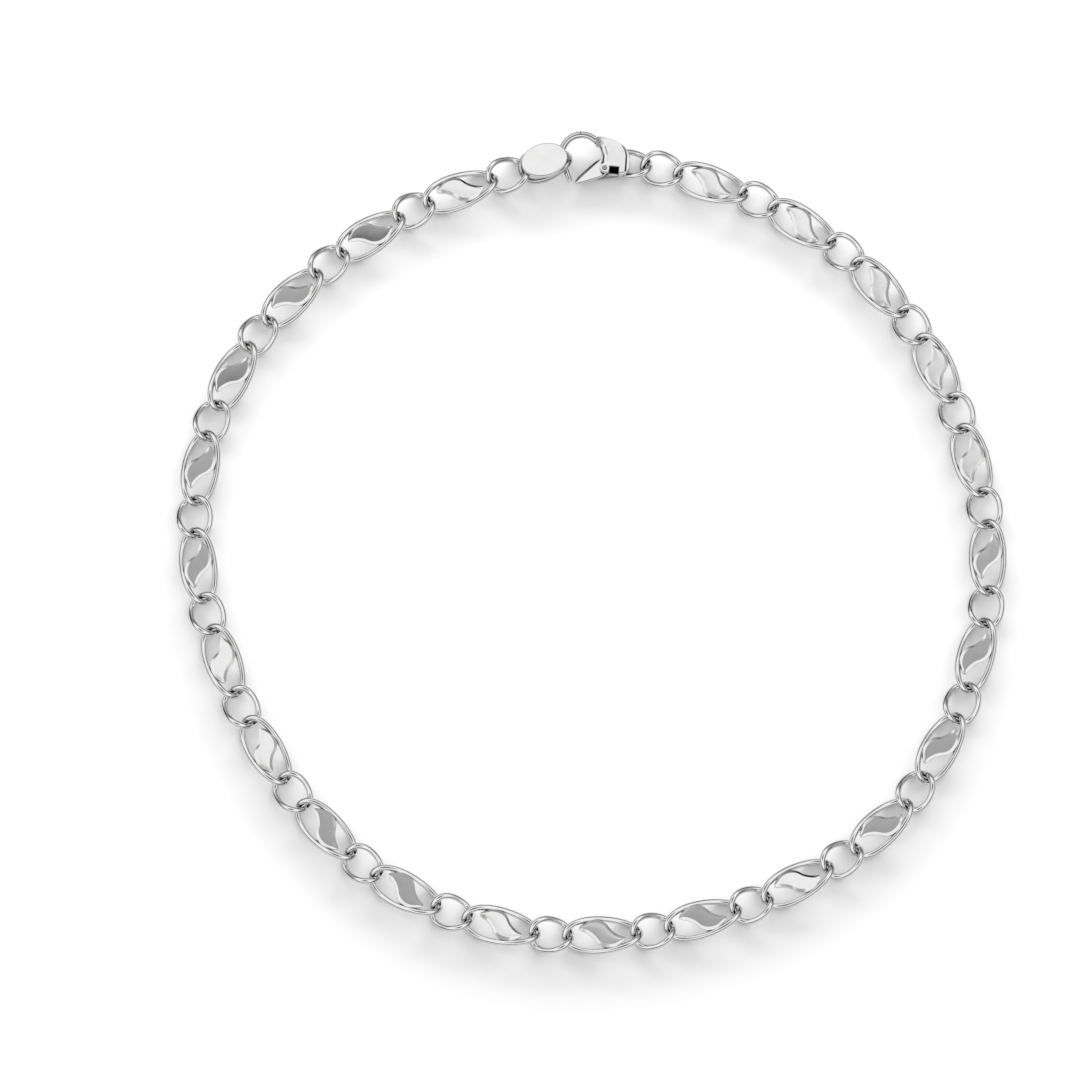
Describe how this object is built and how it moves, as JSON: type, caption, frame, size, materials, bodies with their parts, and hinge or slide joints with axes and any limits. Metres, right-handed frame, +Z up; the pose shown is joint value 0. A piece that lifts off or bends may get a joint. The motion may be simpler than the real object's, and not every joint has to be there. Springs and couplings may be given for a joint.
{
  "type": "bracelet",
  "caption": "Polished silver chain bracelet of round and leaf-filled eye-shaped links in turn, with an oval tag and a lobster clasp, lying closed in a loop.",
  "frame": {"origin": "on the surface the bracelet lies on, under the middle of its box", "axes": "+Z up from the surface, +Y towards the clasp, the loop lies in XY"},
  "size_m": [0.067, 0.0684, 0.002],
  "materials": {
    "round_link": "polished silver",
    "eye_link": "polished silver",
    "tag": "polished silver",
    "clasp": "polished silver",
    "clasp_lever": "polished silver",
    "clasp_pin": "polished silver"
  },
  "bodies": {
    "bracelet": {"round_link_01": "round_link", "round_link_02": "round_link", "round_link_03": "round_link", "round_link_04": "round_link", "round_link_05": "round_link", "round_link_06": "round_link", "round_link_07": "round_link", "round_link_08": "round_link", "round_link_09": "round_link", "round_link_10": "round_link", "round_link_11": "round_link", "round_link_12": "round_link", "round_link_13": "round_link", "round_link_14": "round_link", "round_link_15": "round_link", "round_link_16": "round_link", "round_link_17": "round_link", "round_link_18": "round_link", "round_link_19": "round_link", "round_link_20": "round_link", "round_link_21": "round_link", "round_link_22": "round_link", "round_link_23": "round_link", "round_link_24": "round_link", "navette_link_01": "eye_link", "navette_link_02": "eye_link", "navette_link_03": "eye_link", "navette_link_04": "eye_link", "navette_link_05": "eye_link", "navette_link_06": "eye_link", "navette_link_07": "eye_link", "navette_link_08": "eye_link", "navette_link_09": "eye_link", "navette_link_10": "eye_link", "navette_link_11": "eye_link", "navette_link_12": "eye_link", "navette_link_13": "eye_link", "navette_link_14": "eye_link", "navette_link_15": "eye_link", "navette_link_16": "eye_link", "navette_link_17": "eye_link", "navette_link_18": "eye_link", "navette_link_19": "eye_link", "navette_link_20": "eye_link", "navette_link_21": "eye_link", "navette_link_22": "eye_link", "navette_link_23": "eye_link", "tag": "tag", "clasp_body": "clasp", "clasp_pin": "clasp_pin"},
    "lever": {"clasp_lever": "clasp_lever"}
  },
  "joints": [
    {"name": "lever_hinge", "type": "hinge", "parent": "bracelet", "child": "lever", "pos_m": [0.00157, 0.031, 0.00083], "axis": [0.0088, 0.0867, -0.9962], "range_deg": [0, 25], "stiffness_Nm_per_rad": 0.0005}
  ]
}
